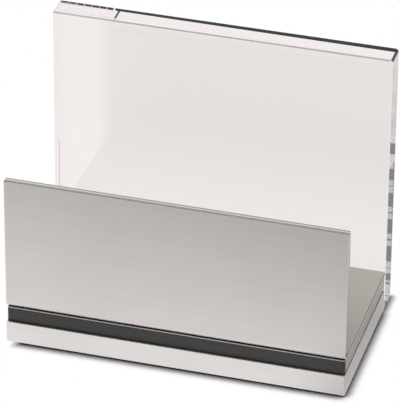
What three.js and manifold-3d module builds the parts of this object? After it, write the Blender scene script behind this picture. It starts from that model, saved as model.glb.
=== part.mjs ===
// Letter stand: a clear acrylic back panel bonded to a two-layer metal base,
// with a bent sheet tray that forms the floor and the low front wall.
// Millimetres, +Z up, front towards -Y, origin at the centre of the footprint.
import * as THREE from "three";
import { mergeVertices } from "three/addons/utils/BufferGeometryUtils.js";
import Module from "manifold-3d";

// Driving dimensions
const overallWidth = 160;
const footProud = 0.8;

const baseDepth = 74.7;
const baseThickness = 10.6;
const baseCornerRadius = 0.5;
const baseEdgeRound = 0.3;

const spacerThickness = 7.5;
const spacerFrontSetback = 1.3;
const spacerSideSetback = 0.5;
const spacerEdgeChamfer = 0.2;

const stripThickness = 1.2;
const stripLip = 0.5;
const stripClearance = 0.1;
const stripEdgeChamfer = 0.15;

const sheetThickness = 3;
const bendInnerRadius = 0.6;
const trayRearGap = 0.7;
const trayHeight = 67.8;
const trayCornerRadius = 0.8;
const sheetEdgeBreak = 0.3;

const panelThickness = 12;
const panelHeight = 132.6;
const panelChamfer = 0.5;

const bondThickness = 0.3;
const bondLowerGap = 0.5;
const bondEndSetback = 0.5;

const studDiameter = 4;
const studFlangeDiameter = 5.4;
const studFlangeHeight = 0.8;
const studTipPastNut = 1;
const studInsetX = 24;
const studInsetY = 17;
const studHoleClearance = 0.6;
const flangeClearance = 0.6;
const flangeHeadroom = 0.1;

const nutAcrossFlats = 7;
const nutHeight = 3.2;
const nutBoreClearance = 0.3;
const washerDiameter = 9;
const washerHeight = 0.8;
const counterboreDiameter = 11.5;
const counterboreDepth = 6.2;

const footDiameter = 12;
const footHeight = 2;
const footEdgeRound = 0.4;
const footRecessClearance = 0.5;
const footInset = 9.5;

// Facets of the round forms
const roundSides = 32;
const bendSteps = 10;
const cornerSteps = 6;
const edgeSteps = 2;
const cutOverrun = 1;

// Levels and places that follow from the sizes above
const baseBottom = footProud;
const baseTop = baseBottom + baseThickness;
const spacerTop = baseTop + spacerThickness;
const bendOuterRadius = bendInnerRadius + sheetThickness;
const panelFront = baseDepth + bondThickness;
const overallDepth = panelFront + panelThickness;
const trayDepth = panelFront - trayRearGap;
const spacerWidth = overallWidth - 2 * spacerSideSetback;
const washerTop = baseBottom + counterboreDepth;
const nutTop = washerTop - washerHeight;
const nutBottom = nutTop - nutHeight;
const studTip = nutBottom - studTipPastNut;
const footTop = footHeight;
const studX = overallWidth / 2 - studInsetX;
const studPlaces = cornerPlaces(studX, studInsetY, baseDepth - studInsetY);
const footPlaces = cornerPlaces(overallWidth / 2 - footInset, footInset, baseDepth - footInset);

const satinAluminium = new THREE.MeshStandardMaterial({ color: 0xd6d2ce, roughness: 0.42, metalness: 1 });
const sawnAluminium = new THREE.MeshStandardMaterial({ color: 0xa9a5a1, roughness: 0.45, metalness: 1 });
const brushedSteel = new THREE.MeshStandardMaterial({ color: 0xb5b0ac, roughness: 0.35, metalness: 1 });
const anthracitePlastic = new THREE.MeshStandardMaterial({ color: 0x474848, roughness: 0.5, metalness: 0 });
const clearAcrylic = new THREE.MeshStandardMaterial({
  color: 0xece8e6,
  roughness: 0.03,
  metalness: 0,
  transparent: true,
  opacity: 0.35,
});
const greyAdhesive = new THREE.MeshStandardMaterial({ color: 0x8c8885, roughness: 0.7, metalness: 0 });
const platedSteel = new THREE.MeshStandardMaterial({ color: 0xb9b8b4, roughness: 0.35, metalness: 1 });
const blackRubber = new THREE.MeshStandardMaterial({ color: 0x2a2a2b, roughness: 0.85, metalness: 0 });

const wasm = await Module();
wasm.setup();

function cornerPlaces(halfSpan, nearFront, nearBack) {
  return [
    { name: "front_left", x: -halfSpan, y: nearFront },
    { name: "front_right", x: halfSpan, y: nearFront },
    { name: "back_left", x: -halfSpan, y: nearBack },
    { name: "back_right", x: halfSpan, y: nearBack },
  ];
}

// Closed mesh to solid and back

function toSolid(geometry) {
  const bare = geometry.clone();
  bare.deleteAttribute("normal");
  bare.deleteAttribute("uv");
  const merged = mergeVertices(bare, 1e-4);
  const mesh = new wasm.Mesh({
    numProp: 3,
    vertProperties: Float32Array.from(merged.attributes.position.array),
    triVerts: Uint32Array.from(merged.index.array),
  });
  mesh.merge();
  return new wasm.Manifold(mesh);
}

function toGeometry(solid) {
  const mesh = solid.getMesh();
  const geometry = new THREE.BufferGeometry();
  geometry.setAttribute("position", new THREE.BufferAttribute(mesh.vertProperties, 3));
  geometry.setIndex(new THREE.BufferAttribute(mesh.triVerts, 1));
  geometry.computeVertexNormals();
  return geometry;
}

function cutAll(geometry, cutters) {
  let solid = toSolid(geometry);
  for (const cutter of cutters) {
    solid = solid.subtract(toSolid(cutter));
  }
  return toGeometry(solid);
}

// Basic forms

function roundedOutline(left, right, low, high, radius) {
  const outline = new THREE.Shape();
  outline.moveTo(left + radius, low);
  outline.lineTo(right - radius, low);
  outline.absarc(right - radius, low + radius, radius, -Math.PI / 2, 0, false);
  outline.lineTo(right, high - radius);
  outline.absarc(right - radius, high - radius, radius, 0, Math.PI / 2, false);
  outline.lineTo(left + radius, high);
  outline.absarc(left + radius, high - radius, radius, Math.PI / 2, Math.PI, false);
  outline.lineTo(left, low + radius);
  outline.absarc(left + radius, low + radius, radius, Math.PI, Math.PI * 1.5, false);
  return outline;
}

function chamferedOutline(left, right, low, high, chamfer) {
  const outline = new THREE.Shape();
  outline.moveTo(left + chamfer, low);
  outline.lineTo(right - chamfer, low);
  outline.lineTo(right, low + chamfer);
  outline.lineTo(right, high - chamfer);
  outline.lineTo(right - chamfer, high);
  outline.lineTo(left + chamfer, high);
  outline.lineTo(left, high - chamfer);
  outline.lineTo(left, low + chamfer);
  outline.closePath();
  return outline;
}

// Extrusion of a given total height whose two end faces lose their sharp edges
function easedPlate(outline, height, edge, edgeSegments) {
  const geometry = new THREE.ExtrudeGeometry(outline, {
    depth: height - 2 * edge,
    bevelEnabled: true,
    bevelThickness: edge,
    bevelSize: edge,
    bevelOffset: -edge,
    bevelSegments: edgeSegments,
    curveSegments: cornerSteps,
  });
  geometry.translate(0, 0, edge);
  return geometry;
}

function uprightCylinder(diameter, low, high, x, y) {
  const geometry = new THREE.CylinderGeometry(diameter / 2, diameter / 2, high - low, roundSides);
  geometry.rotateX(Math.PI / 2);
  geometry.translate(x, y, (low + high) / 2);
  return geometry;
}

function boxBetween(low, high) {
  const size = new THREE.Vector3().subVectors(high, low);
  const centre = new THREE.Vector3().addVectors(high, low).multiplyScalar(0.5);
  const geometry = new THREE.BoxGeometry(size.x, size.y, size.z);
  geometry.translate(centre.x, centre.y, centre.z);
  return geometry;
}

// Pieces

function basePlate() {
  const outline = roundedOutline(-overallWidth / 2, overallWidth / 2, 0, baseDepth, baseCornerRadius);
  const plate = easedPlate(outline, baseThickness, baseEdgeRound, edgeSteps);
  plate.translate(0, 0, baseBottom);
  const cutters = [];
  for (const { x, y } of studPlaces) {
    const hole = studDiameter + studHoleClearance;
    cutters.push(uprightCylinder(hole, baseBottom - cutOverrun, baseTop + cutOverrun, x, y));
    cutters.push(uprightCylinder(counterboreDiameter, baseBottom - cutOverrun, washerTop, x, y));
  }
  for (const { x, y } of footPlaces) {
    cutters.push(uprightCylinder(footDiameter + footRecessClearance, baseBottom - cutOverrun, footTop, x, y));
  }
  return cutAll(plate, cutters);
}

function spacerPlate() {
  const half = spacerWidth / 2;
  const outline = chamferedOutline(-half, half, spacerFrontSetback, baseDepth, spacerEdgeChamfer);
  const plate = easedPlate(outline, spacerThickness, spacerEdgeChamfer, 1);
  plate.translate(0, 0, baseTop);
  const rebate = boxBetween(
    new THREE.Vector3(-half - cutOverrun, spacerFrontSetback - cutOverrun, baseTop - cutOverrun),
    new THREE.Vector3(half + cutOverrun, spacerFrontSetback + stripThickness, spacerTop - stripLip),
  );
  const cutters = [rebate];
  for (const { x, y } of studPlaces) {
    const hole = studDiameter + studHoleClearance;
    const relief = studFlangeDiameter + flangeClearance;
    const reliefFloor = spacerTop - studFlangeHeight - flangeHeadroom;
    cutters.push(uprightCylinder(hole, baseTop - cutOverrun, spacerTop + cutOverrun, x, y));
    cutters.push(uprightCylinder(relief, reliefFloor, spacerTop + cutOverrun, x, y));
  }
  return cutAll(plate, cutters);
}

function accentStrip() {
  const half = spacerWidth / 2;
  const low = baseTop;
  const high = spacerTop - stripLip - stripClearance;
  const outline = chamferedOutline(-half, half, low, high, stripEdgeChamfer);
  const strip = easedPlate(outline, stripThickness, stripEdgeChamfer, 1);
  strip.rotateX(Math.PI / 2);
  strip.translate(0, spacerFrontSetback + stripThickness, 0);
  return strip;
}

// Side view of the bent sheet, drawn with depth along x and height along y
function trayProfile() {
  const floorLow = spacerTop;
  const floorHigh = spacerTop + sheetThickness;
  const wallTop = spacerTop + trayHeight;
  const bendCentre = floorLow + bendOuterRadius;
  const profile = new THREE.Shape();
  profile.moveTo(trayDepth, floorLow);
  profile.lineTo(trayDepth, floorHigh);
  profile.lineTo(bendOuterRadius, floorHigh);
  profile.absarc(bendOuterRadius, bendCentre, bendInnerRadius, -Math.PI / 2, -Math.PI, true);
  profile.lineTo(sheetThickness, wallTop);
  profile.lineTo(0, wallTop);
  profile.lineTo(0, bendCentre);
  profile.absarc(bendOuterRadius, bendCentre, bendOuterRadius, -Math.PI, -Math.PI / 2, false);
  profile.closePath();
  return profile;
}

function letterTray() {
  const sheet = new THREE.ExtrudeGeometry(trayProfile(), {
    depth: overallWidth - 2 * sheetEdgeBreak,
    bevelEnabled: true,
    bevelThickness: sheetEdgeBreak,
    bevelSize: sheetEdgeBreak,
    bevelOffset: -sheetEdgeBreak,
    bevelSegments: 1,
    curveSegments: bendSteps,
  });
  sheet.translate(0, 0, sheetEdgeBreak - overallWidth / 2);
  sheet.rotateX(Math.PI / 2);
  sheet.rotateZ(Math.PI / 2);
  const half = overallWidth / 2;
  const wallTop = spacerTop + trayHeight;
  const frontView = roundedOutline(-half, half, spacerTop - trayHeight, wallTop, trayCornerRadius);
  const cornerTrim = new THREE.ExtrudeGeometry(frontView, {
    depth: trayDepth + 2 * cutOverrun,
    bevelEnabled: false,
    curveSegments: cornerSteps,
  });
  cornerTrim.rotateX(Math.PI / 2);
  cornerTrim.translate(0, trayDepth + cutOverrun, 0);
  let solid = toSolid(sheet).intersect(toSolid(cornerTrim));
  for (const { x, y } of studPlaces) {
    const rootedIn = spacerTop + sheetThickness / 2;
    const flange = uprightCylinder(studFlangeDiameter, spacerTop - studFlangeHeight, rootedIn, x, y);
    const stud = uprightCylinder(studDiameter, studTip, rootedIn, x, y);
    solid = solid.add(toSolid(flange)).add(toSolid(stud));
  }
  return toGeometry(solid);
}

function backPanel() {
  const half = overallWidth / 2;
  const outline = chamferedOutline(-half, half, baseBottom, baseBottom + panelHeight, panelChamfer);
  const panel = easedPlate(outline, panelThickness, panelChamfer, 1);
  panel.rotateX(Math.PI / 2);
  panel.translate(0, panelFront + panelThickness, 0);
  return panel;
}

function panelBond() {
  const half = overallWidth / 2 - bondEndSetback;
  return boxBetween(
    new THREE.Vector3(-half, baseDepth, baseTop + bondLowerGap),
    new THREE.Vector3(half, panelFront, spacerTop),
  );
}

// Hexagon nut: six flats, with the corners turned off at both ends
function hexNut() {
  const circumradius = nutAcrossFlats / Math.sqrt(3);
  const hexagon = new THREE.CylinderGeometry(circumradius, circumradius, nutHeight, 6);
  const cornerDrop = (circumradius - nutAcrossFlats / 2) * Math.tan(Math.PI / 6);
  const turned = new THREE.LatheGeometry(
    [
      new THREE.Vector2(0, -nutHeight / 2),
      new THREE.Vector2(nutAcrossFlats / 2, -nutHeight / 2),
      new THREE.Vector2(circumradius, cornerDrop - nutHeight / 2),
      new THREE.Vector2(circumradius, nutHeight / 2 - cornerDrop),
      new THREE.Vector2(nutAcrossFlats / 2, nutHeight / 2),
      new THREE.Vector2(0, nutHeight / 2),
    ],
    roundSides,
  );
  const boreRadius = (studDiameter + nutBoreClearance) / 2;
  const bore = new THREE.CylinderGeometry(boreRadius, boreRadius, nutHeight + 2 * cutOverrun, roundSides);
  const solid = toSolid(hexagon).intersect(toSolid(turned)).subtract(toSolid(bore));
  const nut = toGeometry(solid);
  nut.rotateX(Math.PI / 2);
  return nut;
}

function washer() {
  const inner = (studDiameter + nutBoreClearance) / 2;
  const outer = washerDiameter / 2;
  const ring = new THREE.LatheGeometry(
    [
      new THREE.Vector2(inner, -washerHeight / 2),
      new THREE.Vector2(outer, -washerHeight / 2),
      new THREE.Vector2(outer, washerHeight / 2),
      new THREE.Vector2(inner, washerHeight / 2),
      new THREE.Vector2(inner, -washerHeight / 2),
    ],
    roundSides,
  );
  ring.rotateX(Math.PI / 2);
  return ring;
}

// Foot: a thin round pad whose lower rim is rounded
function foot() {
  const radius = footDiameter / 2;
  const points = [new THREE.Vector2(0, 0)];
  for (let step = 0; step <= edgeSteps; step += 1) {
    const turn = (step / edgeSteps) * (Math.PI / 2);
    const out = radius - footEdgeRound + footEdgeRound * Math.sin(turn);
    points.push(new THREE.Vector2(out, footEdgeRound - footEdgeRound * Math.cos(turn)));
  }
  points.push(new THREE.Vector2(radius, footHeight));
  points.push(new THREE.Vector2(0, footHeight));
  const pad = new THREE.LatheGeometry(points, roundSides);
  pad.rotateX(Math.PI / 2);
  return pad;
}

// Assembly

const stand = new THREE.Group();
stand.position.y = -overallDepth / 2;

function addPiece(name, geometry, material, x = 0, y = 0, z = 0) {
  const piece = new THREE.Mesh(geometry, material);
  piece.name = name;
  piece.position.set(x, y, z);
  stand.add(piece);
}

addPiece("base_plate", basePlate(), satinAluminium);
addPiece("spacer_plate", spacerPlate(), sawnAluminium);
addPiece("accent_strip", accentStrip(), anthracitePlastic);
addPiece("letter_tray", letterTray(), brushedSteel);
addPiece("back_panel", backPanel(), clearAcrylic);
addPiece("panel_bond", panelBond(), greyAdhesive);

for (const { name, x, y } of studPlaces) {
  addPiece(`tray_washer_${name}`, washer(), platedSteel, x, y, (washerTop + nutTop) / 2);
  addPiece(`tray_nut_${name}`, hexNut(), platedSteel, x, y, (nutTop + nutBottom) / 2);
}

for (const { name, x, y } of footPlaces) {
  addPiece(`foot_${name}`, foot(), blackRubber, x, y, 0);
}

export default stand;
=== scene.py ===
import math

import bmesh
import bpy
from mathutils import Matrix, Vector


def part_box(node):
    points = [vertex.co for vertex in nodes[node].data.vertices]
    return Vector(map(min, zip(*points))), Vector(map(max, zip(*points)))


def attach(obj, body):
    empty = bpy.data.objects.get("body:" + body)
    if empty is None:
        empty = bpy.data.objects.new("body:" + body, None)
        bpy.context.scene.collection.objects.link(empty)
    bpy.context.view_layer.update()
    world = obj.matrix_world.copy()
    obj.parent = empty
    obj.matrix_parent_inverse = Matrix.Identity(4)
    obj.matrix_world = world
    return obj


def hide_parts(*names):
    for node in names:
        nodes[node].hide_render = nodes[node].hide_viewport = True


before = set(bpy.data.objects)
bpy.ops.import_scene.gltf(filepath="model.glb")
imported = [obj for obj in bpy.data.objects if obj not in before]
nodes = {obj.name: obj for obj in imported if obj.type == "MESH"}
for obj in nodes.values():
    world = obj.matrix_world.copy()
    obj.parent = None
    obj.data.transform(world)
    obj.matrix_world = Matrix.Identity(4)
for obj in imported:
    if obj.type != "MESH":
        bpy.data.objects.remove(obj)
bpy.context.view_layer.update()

scene = bpy.context.scene
MM = 0.001

# Corners of the pieces that others are placed from
BASE_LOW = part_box("base_plate")[0]
SPACER_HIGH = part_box("spacer_plate")[1]
TRAY_LOW, TRAY_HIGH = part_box("letter_tray")
BOND_LOW, BOND_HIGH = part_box("panel_bond")
PANEL_LOW, PANEL_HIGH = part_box("back_panel")

# The tray's sheet
SHEET = 3 * MM
BEND_RADIUS = 0.6 * MM
BEND_STEPS = 24
WALL_CORNER = 0.8 * MM
WALL_CORNER_STEPS = 8
SHEET_EDGE = 0.3 * MM
SHEET_EDGE_STEPS = 3

# The studs welded below it
STUD_RADIUS = 2 * MM
STUD_BELOW_NUT = 1 * MM
THREAD_START = 0.4 * MM
THREAD_PITCH = 0.7 * MM
THREAD_DEPTH = 0.38 * MM
THREAD_TURNS = 14
FLANGE_RADIUS = 2.7 * MM
FLANGE_HEIGHT = 0.8 * MM
TURNED_STEPS = 32

# How far the adhesive reaches into the panel's face, and how far it stays below its full height
WETTED = 0.04 * MM
UNFILLED = 0.8 * MM

# The panel's chamfers
PANEL_EDGE = 0.5 * MM
TOP_RIGHT_EDGE = 1 * MM
LEFT_EDGE = 0.16 * MM

# How worked metals vary: the share of the fine lines in their tone, the size of their clouds, and
# how far their roughness changes
FINE_SHARE = 0.4
CLOUDS = 25 * MM
ROUGHNESS_SPREAD = 0.08

# Where metals get painted shade: in seams, and in the hollow of a piece itself
SEAM_REACH = 1.2 * MM
SEAM_OPENNESS = (0.45, 0.80)
SEAM_SHADE = (0.12, 0.11, 0.11)
HOLLOW_REACH = 70 * MM
HOLLOW_OPENNESS = (0.6, 1.0)
HOLLOW_SHADE = (0.60, 0.60, 0.59)

# Painted shade for reflections inside the panel: its tone darkens from the left side inwards, and
# upwards
SHADE_INWARDS = (-63 * MM, -50 * MM)
SHADE_UPWARDS = (35 * MM, 90 * MM)
TINT_SPREAD = 0.15
REFRACTIVE_INDEX = 1.465


# Shader trees

class Socket:
    """One value in a shader tree. Python's operators on it add Math nodes."""

    def __init__(self, tree, socket):
        self.tree = tree
        self.socket = socket

    def math(self, operation, first, second):
        return self.tree.node("ShaderNodeMath", {"operation": operation}, {0: first, 1: second})

    def __add__(self, other):
        return self.math("ADD", self, other)

    def __sub__(self, other):
        return self.math("SUBTRACT", self, other)

    def __rsub__(self, other):
        return self.math("SUBTRACT", other, self)

    def __mul__(self, other):
        return self.math("MULTIPLY", self, other)

    def __lt__(self, other):
        """1 where this is the smaller value, and 0 elsewhere."""
        return self.math("LESS_THAN", self, other)

    def __abs__(self):
        return self.math("ABSOLUTE", self, 0)

    def or_more(self, other):
        """The larger of both."""
        return self.math("MAXIMUM", self, other)

    def or_less(self, other):
        """The smaller of both."""
        return self.math("MINIMUM", self, other)

    __radd__ = __add__
    __rmul__ = __mul__


class ShaderTree:
    """The nodes of one material or of the world."""

    def __init__(self, owner):
        owner.use_nodes = True
        self.nodes = owner.node_tree.nodes
        self.links = owner.node_tree.links
        self.nodes.clear()

    def node(self, kind, settings, inputs, output=0):
        """Adds a node with its settings and its sockets' values or links, and gives one output."""
        made = self.nodes.new(kind)
        for name, value in settings.items():
            if name == "stops":
                set_stops(made.color_ramp, value)
            else:
                setattr(made, name, value)
        for name, value in inputs.items():
            if isinstance(value, Socket):
                self.links.new(value.socket, made.inputs[name])
            else:
                made.inputs[name].default_value = value
        return Socket(self, made.outputs[output] if made.outputs else None)


def set_stops(ramp, stops):
    while len(ramp.elements) < len(stops):
        ramp.elements.new(1)
    for element, (place, colour) in zip(ramp.elements, stops):
        element.position = place
        element.color = (*colour, 1)


def material_tree(name):
    material = bpy.data.materials.new(name)
    return material, ShaderTree(material)


def object_place(tree):
    """The place of a point on the piece, in metres, because the piece's object is at the origin."""
    return tree.node("ShaderNodeTexCoord", {}, {}, "Object")


def along(tree, vector, axis):
    return tree.node("ShaderNodeSeparateXYZ", {}, {0: vector}, axis)


def vector_math(tree, operation, first, second=(0, 0, 0), output="Vector"):
    inputs = {0: first, 1: second}
    return tree.node("ShaderNodeVectorMath", {"operation": operation}, inputs, output)


def even(step):
    """The same spacing in x, y and z."""
    return (step, step, step)


def noise(tree, spacing, detail=2, roughness=0.5):
    """Noise with this spacing in x, y and z, in metres."""
    scale = tuple(1 / step for step in spacing)
    where = tree.node("ShaderNodeMapping", {}, {"Vector": object_place(tree), "Scale": scale})
    inputs = {"Vector": where, "Scale": 1, "Detail": detail, "Roughness": roughness}
    return tree.node("ShaderNodeTexNoise", {}, inputs)


def tones(tree, factor, dark, light, low=0.3, high=0.7):
    """A colour between two tones as the factor goes from low to high."""
    return tree.node("ShaderNodeValToRGB", {"stops": [(low, dark), (high, light)]}, {0: factor})


def smooth_step(tree, value, start, end):
    """0 before start, 1 after end, with a soft change between."""
    inputs = {"Value": value, "From Min": start, "From Max": end, "To Min": 0.0, "To Max": 1.0}
    return tree.node("ShaderNodeMapRange", {"interpolation_type": "SMOOTHSTEP"}, inputs)


def bump(tree, height, depth, strength=1):
    return tree.node("ShaderNodeBump", {}, {"Strength": strength, "Distance": depth, "Height": height})


def surface(tree, **inputs):
    """A Principled surface, with its sockets named as in Blender but with _ for a space."""
    named = {name.replace("_", " "): value for name, value in inputs.items()}
    shader = tree.node("ShaderNodeBsdfPrincipled", {}, named)
    tree.node("ShaderNodeOutputMaterial", {}, {"Surface": shader})


def darkened(tree, colour, shade, factor):
    """The colour times the shade where the factor is 0, and plain where it is 1."""
    settings = {"data_type": "RGBA", "blend_type": "MULTIPLY"}
    return tree.node("ShaderNodeMix", settings, {0: 1 - factor, 6: colour, 7: (*shade, 1)}, 2)


def openness(tree, reach, itself_only=False):
    """From 0 where the surface is closed in within this reach, as in a seam, to 1 in the open."""
    settings = {"samples": 8, "only_local": itself_only}
    return tree.node("ShaderNodeAmbientOcclusion", settings, {"Distance": reach}, "AO")


# Finishes

def metal(name, dark, light, roughness, grain, streaks, depth, hollow=False):
    """Worked metal: fine tool lines in grain's direction, wider streaks, and painted shade in seams."""
    material, tree = material_tree(name)
    fine = noise(tree, grain, detail=3, roughness=0.6)
    wide = noise(tree, streaks)
    cloudy = noise(tree, even(CLOUDS))
    colour = tones(tree, wide * (1 - FINE_SHARE) + fine * FINE_SHARE, dark, light)
    # Painted shade: darker where the surface is closed in, as in a seam
    out_of_seam_shade = smooth_step(tree, openness(tree, SEAM_REACH), *SEAM_OPENNESS)
    colour = darkened(tree, colour, SEAM_SHADE, out_of_seam_shade)
    if hollow:
        # Painted shade in the piece's own hollow
        inside = openness(tree, HOLLOW_REACH, itself_only=True)
        colour = darkened(tree, colour, HOLLOW_SHADE, smooth_step(tree, inside, *HOLLOW_OPENNESS))
    surface(
        tree,
        Base_Color=colour,
        Metallic=1.0,
        Roughness=roughness + (fine - 0.5) * ROUGHNESS_SPREAD + (cloudy - 0.5) * ROUGHNESS_SPREAD,
        Normal=bump(tree, fine, depth),
    )
    return material


def sheet_steel():
    """Brushed along the sheet, with painted shade in the angle between the wall and the floor."""
    return metal(
        "brushed_steel",
        dark=(0.71, 0.672, 0.655),
        light=(0.76, 0.719, 0.701),
        roughness=0.34,
        grain=(50 * MM, 0.3 * MM, 0.3 * MM),
        streaks=(90 * MM, 0.8 * MM, 0.8 * MM),
        depth=0.010 * MM,
        hollow=True,
    )


def cut_steel():
    """The sheet's cut edge: from below, thin painted seam shade, a pale torn band lit as a painted
    highlight, and a dark band.

    Up the wall's sides, the dark band's tone fades.
    """
    underside = SPACER_HIGH.z
    burr_top = underside + 0.4 * MM
    dark_band_start = underside + 1.7 * MM
    wall_start = underside + SHEET
    fade_height = 2 * MM
    faded_share = 0.65
    blur = 0.2 * MM
    waver = 0.3 * MM
    material, tree = material_tree("cut_steel_edge")
    torn = noise(tree, (0.3 * MM, 0.3 * MM, 0.5 * MM), detail=3, roughness=0.6)
    wavy = noise(tree, even(6 * MM))
    level = along(tree, object_place(tree), "Z") + (wavy - 0.5) * waver
    faded = smooth_step(tree, level, wall_start, wall_start + fade_height)
    burnished = smooth_step(tree, level, dark_band_start, dark_band_start + blur) * (1 - faded_share * faded)
    # Painted shade of the seam between the sheet and the spacer
    burr = 1 - smooth_step(tree, level, burr_top, burr_top + blur)
    # Its pale tone, brighter than the sheet's, is a painted highlight
    pale = tones(tree, torn, (0.88, 0.835, 0.811), (0.98, 0.930, 0.904))
    surface(
        tree,
        Base_Color=darkened(tree, pale, (0.08, 0.08, 0.08), 1 - burnished.or_more(burr)),
        Metallic=1.0,
        Roughness=0.42 + (torn - 0.5) * 0.1,
        Normal=bump(tree, torn, 0.01 * MM),
    )
    return material


def wall_top_steel():
    """The top of the wall: grain along it, a painted highlight along its middle and painted shade on
    both broken arrises.
    """
    wall_middle = TRAY_LOW.y + SHEET / 2
    lit_to = 0.4 * MM
    shade_from = 0.7 * MM
    material, tree = material_tree("wall_top_steel")
    fine = noise(tree, (50 * MM, 0.3 * MM, 0.3 * MM), detail=3, roughness=0.6)
    from_middle = abs(along(tree, object_place(tree), "Y") - wall_middle)
    # Painted highlight along the middle, painted shade towards both arrises
    lit_middle = 1 - smooth_step(tree, from_middle, lit_to, shade_from)
    colour = tones(tree, fine, (0.93, 0.87, 0.86), (0.98, 0.92, 0.91))
    surface(
        tree,
        Base_Color=darkened(tree, colour, (0.40, 0.395, 0.395), lit_middle),
        Metallic=1.0,
        Roughness=0.34 + (fine - 0.5) * 0.08,
        Normal=bump(tree, fine, 0.01 * MM),
    )
    return material


def arris_highlight_steel():
    """The wall's upright arrises, with a painted highlight."""
    return metal(
        "arris_highlight_steel",
        dark=(0.90, 0.875, 0.86),
        light=(0.96, 0.935, 0.92),
        roughness=0.30,
        grain=(0.4 * MM, 0.4 * MM, 6 * MM),
        streaks=(4 * MM, 4 * MM, 30 * MM),
        depth=0.005 * MM,
    )


def base_aluminium():
    return metal(
        "satin_aluminium",
        dark=(0.79, 0.754, 0.734),
        light=(0.855, 0.816, 0.795),
        roughness=0.40,
        grain=(14 * MM, 14 * MM, 0.2 * MM),
        streaks=(60 * MM, 60 * MM, 1.8 * MM),
        depth=0.010 * MM,
    )


def spacer_aluminium():
    return metal(
        "sawn_aluminium",
        dark=(0.54, 0.512, 0.497),
        light=(0.67, 0.635, 0.617),
        roughness=0.42,
        grain=(0.5 * MM, 0.5 * MM, 20 * MM),
        streaks=(9 * MM, 9 * MM, 40 * MM),
        depth=0.014 * MM,
    )


def plated_steel():
    return metal(
        "plated_steel",
        dark=(0.50, 0.50, 0.48),
        light=(0.66, 0.65, 0.62),
        roughness=0.34,
        grain=even(0.4 * MM),
        streaks=even(2 * MM),
        depth=0.01 * MM,
    )


def strip_plastic():
    material, tree = material_tree("anthracite_plastic")
    grain = noise(tree, even(0.35 * MM), detail=3, roughness=0.6)
    drawn = noise(tree, (45 * MM, 2 * MM, 1.2 * MM))
    surface(
        tree,
        Base_Color=tones(tree, drawn, (0.068, 0.068, 0.069), (0.092, 0.092, 0.093)),
        Roughness=0.46 + (grain - 0.5) * 0.12,
        IOR=1.5,
        Normal=bump(tree, grain, 0.01 * MM),
    )
    return material


def acrylic(name, light, shaded=None, roughness=0.0):
    """Cast acrylic: the light tone at the left and low down, and the painted shade tone, if any,
    elsewhere.
    """
    material, tree = material_tree(name)
    place = object_place(tree)
    inwards = smooth_step(tree, along(tree, place, "X"), *SHADE_INWARDS)
    upwards = smooth_step(tree, along(tree, place, "Z"), *SHADE_UPWARDS)
    cast = noise(tree, even(40 * MM), detail=1, roughness=0.4)
    # Painted shade, spread a little at random by the cast
    shade_and_cast = inwards * upwards + (cast - 0.5) * TINT_SPREAD
    surface(
        tree,
        Base_Color=tones(tree, shade_and_cast, light, shaded or light, low=0, high=1),
        Roughness=roughness + cast * 0.001,
        IOR=REFRACTIVE_INDEX,
        Transmission_Weight=1.0,
        Normal=bump(tree, cast, 0.002 * MM, strength=0.5),
    )
    return material


def bond_adhesive():
    material, tree = material_tree("grey_adhesive")
    flow = noise(tree, (12 * MM, 1 * MM, 3 * MM))
    surface(
        tree,
        Base_Color=tones(tree, flow, (0.010, 0.010, 0.011), (0.022, 0.021, 0.021)),
        Roughness=0.5 + (flow - 0.5) * 0.2,
        IOR=1.5,
        Specular_IOR_Level=0.0,
        Normal=bump(tree, flow, 0.05 * MM),
    )
    return material


def foot_rubber():
    material, tree = material_tree("black_rubber")
    pores = noise(tree, even(0.5 * MM), detail=3, roughness=0.6)
    dust = noise(tree, even(6 * MM))
    surface(
        tree,
        Base_Color=tones(tree, dust, (0.018, 0.018, 0.019), (0.035, 0.035, 0.036)),
        Roughness=0.8 + (pores - 0.5) * 0.2,
        IOR=1.5,
        Normal=bump(tree, pores, 0.03 * MM),
    )
    return material


STEEL = sheet_steel()
CUT_STEEL = cut_steel()
WALL_TOP_STEEL = wall_top_steel()
ARRIS_HIGHLIGHT_STEEL = arris_highlight_steel()
ALUMINIUM = base_aluminium()
SPACER_METAL = spacer_aluminium()
PLASTIC = strip_plastic()
# Each face of the panel has its own tone: the right side's darker one is painted shade, the top's
# lighter one a painted highlight
POLISHED = acrylic("polished_acrylic", (0.895, 0.850, 0.835), (0.832, 0.782, 0.768))
LEFT_SIDE = acrylic("polished_left", (0.86, 0.83, 0.83), roughness=0.09)
RIGHT_SIDE = acrylic("polished_side", (0.80, 0.715, 0.735), (0.75, 0.665, 0.685))
TOP_SIDE = acrylic("polished_top", (0.99, 0.905, 0.955))
DULL_DARK_EDGE = acrylic("dull_dark_edge", (0.30, 0.27, 0.26), (0.27, 0.24, 0.23), roughness=0.5)
DULL_BLACK_CORNER = acrylic("dull_black_corner", (0.05, 0.05, 0.055), roughness=0.5)
ADHESIVE = bond_adhesive()
PLATED = plated_steel()
RUBBER = foot_rubber()


# Mesh tools

# Points nearer than this are one, faces that turn by less are one, edges that turn by more are sharp
TOUCHING = 0.001 * MM
LEVEL = math.radians(0.5)
SHARP = math.radians(60)

# Least share of a face's normal along an axis, for a face square to it, a chamfer and a broken arris
SQUARE = 0.9
CHAMFERED = 0.5
BROKEN = 0.2


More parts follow.
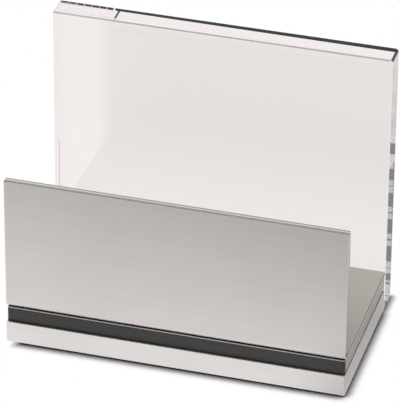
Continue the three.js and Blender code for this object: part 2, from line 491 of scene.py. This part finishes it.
def finish_piece(mesh_data, name, materials, replaced, crease=40):
    """Makes the piece from its mesh, smooth but for edges that turn by more than crease degrees."""
    bmesh.ops.recalc_face_normals(mesh_data, faces=mesh_data.faces)
    for face in mesh_data.faces:
        face.smooth = True
    for edge in mesh_data.edges:
        edge.smooth = edge.calc_face_angle(0) < math.radians(crease)
    mesh = bpy.data.meshes.new(name)
    mesh_data.to_mesh(mesh)
    mesh_data.free()
    for material in materials:
        mesh.materials.append(material)
    piece = bpy.data.objects.new(name, mesh)
    scene.collection.objects.link(piece)
    weighted = piece.modifiers.new("flat_faces_stay_flat", "WEIGHTED_NORMAL")
    weighted.keep_sharp = True
    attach(piece, "root")
    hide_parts(replaced)
    return piece


def joined_copy(node, name, material):
    """The CAD node with its loose triangles joined, so that rounded edges shade smoothly."""
    mesh_data = bmesh.new()
    mesh_data.from_mesh(nodes[node].data)
    bmesh.ops.remove_doubles(mesh_data, verts=mesh_data.verts, dist=TOUCHING)
    bmesh.ops.dissolve_limit(
        mesh_data, angle_limit=LEVEL, verts=mesh_data.verts, edges=mesh_data.edges
    )
    finish_piece(mesh_data, name, [material], node)


def block(low, high):
    """A closed box between two corners."""
    mesh_data = bmesh.new()
    low, high = Vector(low), Vector(high)
    size = Matrix.Diagonal((high - low).to_4d())
    bmesh.ops.create_cube(mesh_data, size=1, matrix=Matrix.Translation((low + high) / 2) @ size)
    return mesh_data


def face_towards(mesh_data, direction):
    """The face whose middle lies furthest in this direction."""
    mesh_data.faces.ensure_lookup_table()
    return max(mesh_data.faces, key=lambda face: face.calc_center_median().dot(Vector(direction)))


def edge_near(mesh_data, point):
    """The edge whose middle lies nearest to this point."""
    return min(
        mesh_data.edges,
        key=lambda edge: ((edge.verts[0].co + edge.verts[1].co) / 2 - point).length,
    )


def sharp_edges(mesh_data):
    return [edge for edge in mesh_data.edges if edge.calc_face_angle(0) > SHARP]


def bevel_edges(mesh_data, edges, width, steps=1):
    bmesh.ops.bevel(
        mesh_data,
        geom=edges,
        offset=width,
        offset_type="OFFSET",
        segments=steps,
        profile=0.5,
        affect="EDGES",
        material=-1,
        clamp_overlap=True,
    )


# The tray

def bent_sheet():
    """The floor slab, with its front end turned up through the bend and drawn out to the wall."""
    floor_low = SPACER_HIGH.z
    floor_high = floor_low + SHEET
    bend_start = TRAY_LOW.y + BEND_RADIUS + SHEET
    bend_axis = Vector((0, bend_start, floor_high + BEND_RADIUS))
    mesh_data = block((TRAY_LOW.x, bend_start, floor_low), (TRAY_HIGH.x, TRAY_HIGH.y, floor_high))
    bend_in = face_towards(mesh_data, (0, -1, 0))
    bmesh.ops.spin(
        mesh_data,
        geom=[bend_in],
        cent=bend_axis,
        axis=(1, 0, 0),
        angle=-math.pi / 2,
        steps=BEND_STEPS,
    )
    # The end of the bend lies highest, and in front of the floor
    bend_out = face_towards(mesh_data, (0, -0.01, 1))
    drawn = bmesh.ops.extrude_face_region(mesh_data, geom=[bend_out])["geom"]
    raised = [item for item in drawn if isinstance(item, bmesh.types.BMVert)]
    rise = TRAY_HIGH.z - bend_axis.z
    bmesh.ops.translate(mesh_data, verts=raised, vec=(0, 0, rise))
    # Both operators can leave the face that they started from inside the sheet
    inner = [face for face in (bend_in, bend_out) if face.is_valid]
    bmesh.ops.delete(mesh_data, geom=inner, context="FACES_ONLY")
    return mesh_data


def tray_finish(face):
    if abs(face.normal.x) > SQUARE:
        return CUT_STEEL
    if face.calc_center_median().z > TRAY_HIGH.z - SHEET_EDGE:
        return WALL_TOP_STEEL
    if abs(face.normal.x) > BROKEN and face.normal.y < -BROKEN:
        return ARRIS_HIGHLIGHT_STEEL
    return STEEL


def tray_sheet():
    """The bent sheet, with the wall's two upper corners rounded and all edges broken."""
    mesh_data = bent_sheet()
    corners = [
        edge
        for edge in mesh_data.edges
        if all(vert.co.z > TRAY_HIGH.z - SHEET_EDGE for vert in edge.verts)
        and abs(edge.verts[0].co.x - edge.verts[1].co.x) < SHEET_EDGE
    ]
    bevel_edges(mesh_data, corners, WALL_CORNER, WALL_CORNER_STEPS)
    bevel_edges(mesh_data, sharp_edges(mesh_data), SHEET_EDGE, SHEET_EDGE_STEPS)
    bmesh.ops.recalc_face_normals(mesh_data, faces=mesh_data.faces)
    finishes = [STEEL, CUT_STEEL, WALL_TOP_STEEL, ARRIS_HIGHLIGHT_STEEL]
    for face in mesh_data.faces:
        face.material_index = finishes.index(tray_finish(face))
    finish_piece(mesh_data, "tray_sheet", finishes, "letter_tray")


def stud_outline(tip):
    """Radius and height of each point, from the middle of the tip up to the middle of the flange."""
    core = STUD_RADIUS - THREAD_DEPTH
    flange = SPACER_HIGH.z - FLANGE_HEIGHT
    outline = [(0, tip), (core, tip)]
    for turn in range(THREAD_TURNS):
        crest = tip + THREAD_START + turn * THREAD_PITCH
        outline += [(STUD_RADIUS, crest), (core, crest + THREAD_PITCH / 2)]
    thread_end = tip + THREAD_START + THREAD_TURNS * THREAD_PITCH
    outline += [(STUD_RADIUS, thread_end), (STUD_RADIUS, flange)]
    outline += [(FLANGE_RADIUS, flange), (FLANGE_RADIUS, SPACER_HIGH.z), (0, SPACER_HIGH.z)]
    return outline


def welded_stud(corner):
    """A threaded stud with a weld flange, turned about its axis, on the underside of the tray."""
    nut_low, nut_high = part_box(f"tray_nut_{corner}")
    middle = (nut_low + nut_high) / 2
    outline = stud_outline(nut_low.z - STUD_BELOW_NUT)
    mesh_data = bmesh.new()
    points = [mesh_data.verts.new((radius, 0, height)) for radius, height in outline]
    for first, second in zip(points, points[1:]):
        mesh_data.edges.new((first, second))
    bmesh.ops.spin(
        mesh_data,
        geom=mesh_data.verts[:] + mesh_data.edges[:],
        cent=(0, 0, 0),
        axis=(0, 0, 1),
        angle=2 * math.pi,
        steps=TURNED_STEPS,
        use_merge=True,
    )
    bmesh.ops.remove_doubles(mesh_data, verts=mesh_data.verts, dist=TOUCHING)
    bmesh.ops.translate(mesh_data, verts=mesh_data.verts, vec=(middle.x, middle.y, 0))
    name = f"welded_stud_{corner}"
    finish_piece(mesh_data, name, [PLATED], "letter_tray", crease=30)


# The panel and its adhesive

def bond_seam():
    """The adhesive reaches just into the panel's face, because it wets it."""
    high = (BOND_HIGH.x, BOND_HIGH.y + WETTED, BOND_HIGH.z - UNFILLED)
    mesh_data = block(BOND_LOW, high)
    finish_piece(mesh_data, "bond_seam", [ADHESIVE], "panel_bond")


def upright_left_edges(mesh_data):
    return [
        edge
        for edge in sharp_edges(mesh_data)
        if max(vert.co.x for vert in edge.verts) < PANEL_LOW.x + LEFT_EDGE
        and edge.calc_length() > PANEL_HIGH.z / 2
    ]


def panel_finish(face):
    if face.normal.z > SQUARE:
        return TOP_SIDE
    if face.normal.z > CHAMFERED:
        at_back_or_corner = max(face.normal.x, face.normal.y) > CHAMFERED
        return DULL_BLACK_CORNER if at_back_or_corner else DULL_DARK_EDGE
    if face.normal.x > SQUARE:
        return RIGHT_SIDE
    if face.normal.x < -CHAMFERED:
        return LEFT_SIDE
    return POLISHED


def clear_panel():
    """Polished, with a slight haze at the left, dull dark arrises along the top and fine ones at the
    left.

    It casts no shadow: a clear panel casts hardly any, and the renderer would make a dark one.
    """
    mesh_data = block(PANEL_LOW, PANEL_HIGH)
    top_right = Vector((PANEL_HIGH.x, (PANEL_LOW.y + PANEL_HIGH.y) / 2, PANEL_HIGH.z))
    bevel_edges(mesh_data, [edge_near(mesh_data, top_right)], TOP_RIGHT_EDGE)
    left = upright_left_edges(mesh_data)
    others = [edge for edge in sharp_edges(mesh_data) if edge not in left]
    bevel_edges(mesh_data, others, PANEL_EDGE)
    # The finest bevel comes last, because a short edge would narrow the bevels after it
    bevel_edges(mesh_data, upright_left_edges(mesh_data), LEFT_EDGE)
    bmesh.ops.recalc_face_normals(mesh_data, faces=mesh_data.faces)
    finishes = [POLISHED, RIGHT_SIDE, LEFT_SIDE, TOP_SIDE, DULL_DARK_EDGE, DULL_BLACK_CORNER]
    for face in mesh_data.faces:
        face.material_index = finishes.index(panel_finish(face))
    panel = finish_piece(mesh_data, "clear_panel", finishes, "back_panel")
    panel.visible_shadow = False


# All pieces

tray_sheet()
bond_seam()
clear_panel()
joined_copy("base_plate", "base_block", ALUMINIUM)

# Pieces that keep their CAD shape, with their finish
CARRIED_OVER = {
    "spacer_plate": SPACER_METAL,
    "accent_strip": PLASTIC,
}
for name, material in CARRIED_OVER.items():
    nodes[name].data.materials.clear()
    nodes[name].data.materials.append(material)

for corner in ("front_left", "front_right", "back_left", "back_right"):
    joined_copy(f"foot_{corner}", f"rubber_foot_{corner}", RUBBER)
    joined_copy(f"tray_washer_{corner}", f"washer_{corner}", PLATED)
    joined_copy(f"tray_nut_{corner}", f"nut_{corner}", PLATED)
    welded_stud(corner)


# Floor and room

FLOOR_HALF = 6
FLOOR_TONE = (0.82, 0.81, 0.80, 1)
WHITE = (1, 1, 1, 1)

# The shadow on the floor by how open it is there: close under the object, at its edge, in the open
CONTACT_REACH = 6 * MM
CONTACT_SHADOW = [(0.46, (0.02, 0.016, 0.02)), (0.66, (0.36, 0.347, 0.357)), (0.91, (1, 1, 1))]

# It also falls round the panel's foot, and it starts a little inside the base's left side
PANEL_FOOT = (-7 * MM, 6 * MM)
SHADOW_START = (-1 * MM, 14 * MM)

# Painted shade that mirrors show of the floor: well in front of the object, and close under it
FAR_GREY = (0.39, 0.39, 0.39, 1)
CLOSE_GREY = (0.2, 0.2, 0.2, 1)
CLOSE_OPENNESS = (0.3, 0.6)

# In mirrors the floor turns from painted grey shade, well in front of the object, to white at it and
# behind it
WHITENING = (-0.32, -0.03)
WHITENING_SLANT = 0.25

# There, an oval patch of painted shadow at the right of the object is less white, and least so in its
# front part
PATCH_MIDDLE = (0.1253, 0.05)
PATCH_REACH = (0.07, 0.2)
PATCH_RIM = (0.5, 1.2)
PATCH_FRONT_TO_BACK = (20 * MM, 60 * MM)
PATCH_FRONT_WHITE = 0.18
PATCH_BACK_WHITE = 0.40

# The room's tones and strengths, and the directions between which it turns from front to back
FRONT_TONE = (1, 0.95, 0.93, 1)
FRONT_STRENGTH = 0.06
BACK_TONE = (0.95, 1, 0.94, 1)
BACK_STRENGTH = 0.66
FRONT_TO_BACK = (-0.1, 0.5)

# Up to this many surfaces, or up to this rise, the room is white through the acrylic
FEW_SURFACES = 2.5
LOW_RISE = 0.25


def light_path(tree, output):
    return tree.node("ShaderNodeLightPath", {}, {}, output)


def glow(tree, colour):
    return tree.node("ShaderNodeEmission", {}, {"Color": colour})


def room_light(tree, colour, strength):
    return tree.node("ShaderNodeBackground", {}, {"Color": colour, "Strength": strength})


def mixed(tree, factor, first, second):
    """The first shader where the factor is 0, and the second where it is 1."""
    return tree.node("ShaderNodeMixShader", {}, {0: factor, 1: first, 2: second})


def away_from_panel(tree, place):
    """How far a point of the floor lies outside the panel's outline."""
    middle = (PANEL_LOW + PANEL_HIGH) / 2
    half = (PANEL_HIGH - PANEL_LOW) / 2
    offset = vector_math(tree, "SUBTRACT", place, (middle.x, middle.y, 0))
    offset = vector_math(tree, "ABSOLUTE", offset)
    beyond = vector_math(tree, "SUBTRACT", offset, (half.x, half.y, 0))
    beyond = vector_math(tree, "MAXIMUM", beyond)
    return vector_math(tree, "LENGTH", beyond, output="Value")


def floor_openness(tree, place):
    """Low close under the object and round the panel's foot, 1 in the open and at the left side."""
    around = openness(tree, CONTACT_REACH)
    by_panel = smooth_step(tree, away_from_panel(tree, place), *PANEL_FOOT)
    from_left = along(tree, place, "X") - BASE_LOW.x
    at_left = 1 - smooth_step(tree, from_left, *SHADOW_START)
    return around.or_less(by_panel).or_more(at_left)


def mirrored_white(tree, place):
    """How white the floor is where metal or acrylic mirrors it."""
    across = along(tree, place, "X")
    depth = along(tree, place, "Y")
    near = smooth_step(tree, depth - across * WHITENING_SLANT, *WHITENING)
    offset = vector_math(tree, "SUBTRACT", place, (*PATCH_MIDDLE, 0))
    offset = vector_math(tree, "DIVIDE", offset, (*PATCH_REACH, 1))
    from_patch = vector_math(tree, "LENGTH", offset, output="Value")
    in_back = smooth_step(tree, depth, *PATCH_FRONT_TO_BACK)
    least = in_back * (PATCH_BACK_WHITE - PATCH_FRONT_WHITE) + PATCH_FRONT_WHITE
    outside = smooth_step(tree, from_patch, *PATCH_RIM)
    return near * (least + outside * (1 - least))


def floor_material():
    """White with a contact shadow to the camera, toned with painted shade in mirrors, and open from
    below.
    """
    material, tree = material_tree("white_floor")
    place = object_place(tree)
    open_floor = floor_openness(tree, place)
    shadowed = tree.node("ShaderNodeValToRGB", {"stops": CONTACT_SHADOW}, {0: open_floor})
    plain = tree.node("ShaderNodeBsdfDiffuse", {}, {"Color": FLOOR_TONE})
    white = glow(tree, WHITE)
    toned = mixed(tree, mirrored_white(tree, place), glow(tree, FAR_GREY), white)
    not_close = smooth_step(tree, open_floor, *CLOSE_OPENNESS)
    in_mirrors = mixed(tree, not_close, glow(tree, CLOSE_GREY), toned)
    glossy = light_path(tree, "Is Glossy Ray")
    through = light_path(tree, "Is Transmission Ray")
    outside = mixed(tree, glossy, glow(tree, shadowed), in_mirrors)
    shown = mixed(tree, through, outside, white)
    seen = light_path(tree, "Is Camera Ray").or_more(glossy).or_more(through)
    above = mixed(tree, seen, plain, shown)
    below = tree.node("ShaderNodeNewGeometry", {}, {}, "Backfacing")
    open_below = tree.node("ShaderNodeBsdfTransparent", {}, {})
    whole = mixed(tree, below, above, open_below)
    tree.node("ShaderNodeOutputMaterial", {}, {"Surface": whole})
    return material


def floor():
    mesh_data = bmesh.new()
    bmesh.ops.create_grid(mesh_data, x_segments=1, y_segments=1, size=FLOOR_HALF)
    mesh = bpy.data.meshes.new("floor")
    mesh_data.to_mesh(mesh)
    mesh_data.free()
    mesh.materials.append(floor_material())
    plane = bpy.data.objects.new("floor", mesh)
    scene.collection.objects.link(plane)


def studio_world():
    """Bright towards the back of the room, dim towards the front, and white to the camera.

    Through the acrylic it is white too, after few surfaces or in directions that hardly rise.
    """
    world = bpy.data.worlds.new("studio")
    scene.world = world
    tree = ShaderTree(world)
    direction = tree.node("ShaderNodeTexCoord", {}, {}, "Generated")
    backwards = smooth_step(tree, along(tree, direction, "Y"), *FRONT_TO_BACK)
    front = room_light(tree, FRONT_TONE, FRONT_STRENGTH)
    back = room_light(tree, BACK_TONE, BACK_STRENGTH)
    white = room_light(tree, WHITE, 1)
    shallow = light_path(tree, "Ray Depth") < FEW_SURFACES
    level = along(tree, direction, "Z") < LOW_RISE
    through_acrylic = light_path(tree, "Is Transmission Ray") * shallow.or_more(level)
    background = light_path(tree, "Is Camera Ray").or_more(through_acrylic)
    whole = mixed(tree, background, mixed(tree, backwards, front, back), white)
    tree.node("ShaderNodeOutputWorld", {}, {"Surface": whole})


def soft_lamp(name, place, size, watts, colour):
    """A rectangular lamp, aimed at the foot of the object."""
    lamp = bpy.data.lights.new(name, "AREA")
    lamp.shape = "RECTANGLE"
    lamp.size, lamp.size_y = size
    lamp.energy = watts
    lamp.color = colour
    holder = bpy.data.objects.new(name, lamp)
    holder.location = place
    holder.rotation_euler = (-Vector(place)).to_track_quat("-Z", "Y").to_euler()
    scene.collection.objects.link(holder)


# The camera at the photograph's place

CAMERA_AIM = Vector((2.074, -9.135, 69.564)) * MM
CAMERA_DISTANCE = 1.85
CAMERA_TO_RIGHT = math.radians(15.703)
CAMERA_UP = math.radians(31.457)
CAMERA_ROLL = math.radians(0.446)
SENSOR_WIDTH = 36
FOCAL_LENGTH = 367.83
NEAREST_SEEN = 0.1
FURTHEST_SEEN = 50


def camera():
    lens = bpy.data.cameras.new("camera")
    lens.sensor_fit = "HORIZONTAL"
    lens.sensor_width = SENSOR_WIDTH
    lens.lens = FOCAL_LENGTH
    lens.clip_start = NEAREST_SEEN
    lens.clip_end = FURTHEST_SEEN
    holder = bpy.data.objects.new("camera", lens)
    turned = Matrix.Rotation(CAMERA_TO_RIGHT, 4, "Z")
    raised = Matrix.Rotation(math.pi / 2 - CAMERA_UP, 4, "X")
    rolled = Matrix.Rotation(CAMERA_ROLL, 4, "Z")
    moved_back = Matrix.Translation((0, 0, CAMERA_DISTANCE))
    holder.matrix_world = Matrix.Translation(CAMERA_AIM) @ turned @ raised @ rolled @ moved_back
    scene.collection.objects.link(holder)
    scene.camera = holder


floor()
studio_world()
soft_lamp("overhead", (-0.1, -0.15, 1.3), size=(2.2, 1.8), watts=8, colour=(1, 1, 0.96))
soft_lamp("edge_light", (-0.1, -0.25, 1.1), size=(0.9, 0.2), watts=2.4, colour=(1, 0.99, 0.97))
camera()

# Enough bounces for light that runs to and fro inside the panel
BOUNCES = 48
scene.view_settings.view_transform = "Standard"
scene.cycles.max_bounces = BOUNCES
scene.cycles.glossy_bounces = BOUNCES
scene.cycles.transmission_bounces = BOUNCES
scene.cycles.caustics_reflective = False
scene.cycles.caustics_refractive = False
